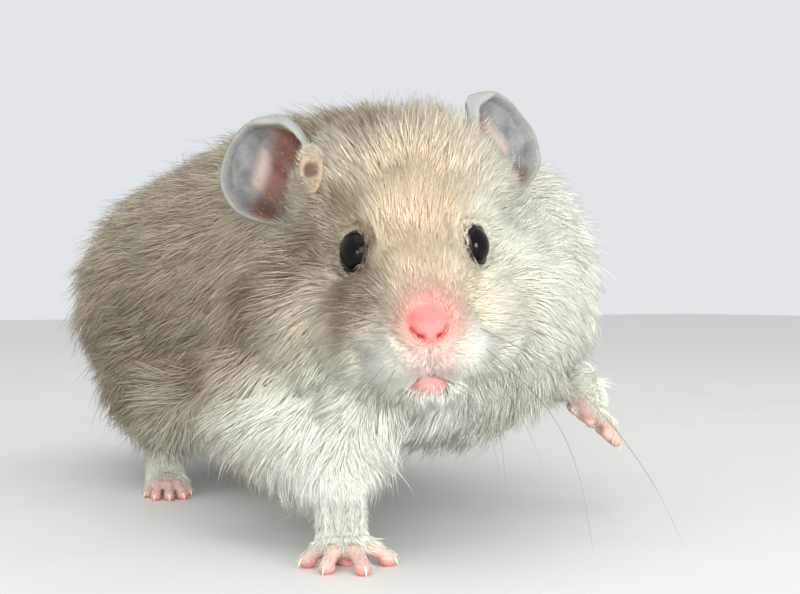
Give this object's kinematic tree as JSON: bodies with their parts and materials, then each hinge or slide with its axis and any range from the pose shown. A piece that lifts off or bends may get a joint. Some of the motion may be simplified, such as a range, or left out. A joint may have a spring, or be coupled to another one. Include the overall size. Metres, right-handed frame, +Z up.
{
  "type": "syrian hamster",
  "caption": "Life-size Syrian hamster in mid-step with its head turned to the right: a rounded, furry, short-tailed rodent that stands still on its feet",
  "frame": {"origin": "centre of the bounding box in plan, on the floor that the feet stand on", "axes": "+Z up; the trunk lies along Y with the head at -Y and the tail at +Y; the animal's right side is -X and its left side is +X"},
  "size_m": [0.067, 0.1376, 0.0649],
  "materials": {
    "fur_cream": "soft cream fur on the back, flanks and rump",
    "fur_face": "short cream fur of the head, with taupe and honey patches",
    "fur_white": "soft white fur of the chest and forelegs",
    "ear_skin": "thin grey-lilac skin with fine down",
    "paw_skin": "pink bare skin with pale down",
    "nose_skin": "moist pink skin",
    "eye": "wet glossy black",
    "claw": "pale translucent horn"
  },
  "bodies": {
    "root": {"chest": "fur_white", "ear_left": "ear_skin", "ear_right": "ear_skin", "eye_left": "eye", "eye_right": "eye", "fore_claw_left_1": "claw", "fore_claw_left_2": "claw", "fore_claw_left_3": "claw", "fore_claw_left_4": "claw", "fore_claw_right_1": "claw", "fore_claw_right_2": "claw", "fore_claw_right_3": "claw", "fore_claw_right_4": "claw", "forearm_left": "fur_white", "forearm_right": "fur_white", "forepaw_left": "paw_skin", "forepaw_right": "paw_skin", "head": "fur_face", "hind_claw_left_1": "claw", "hind_claw_left_2": "claw", "hind_claw_left_3": "claw", "hind_claw_left_4": "claw", "hind_claw_left_5": "claw", "hind_claw_right_1": "claw", "hind_claw_right_2": "claw", "hind_claw_right_3": "claw", "hind_claw_right_4": "claw", "hind_claw_right_5": "claw", "hind_foot_left": "paw_skin", "hind_foot_right": "paw_skin", "lower_jaw": "fur_face", "muzzle": "fur_face", "neck": "fur_cream", "nose": "nose_skin", "rump": "fur_cream", "shank_left": "fur_cream", "shank_right": "fur_cream", "tail": "paw_skin", "thigh_left": "fur_cream", "thigh_right": "fur_cream", "trunk": "fur_cream", "upper_arm_left": "fur_white", "upper_arm_right": "fur_white"}
  },
  "joints": []
}
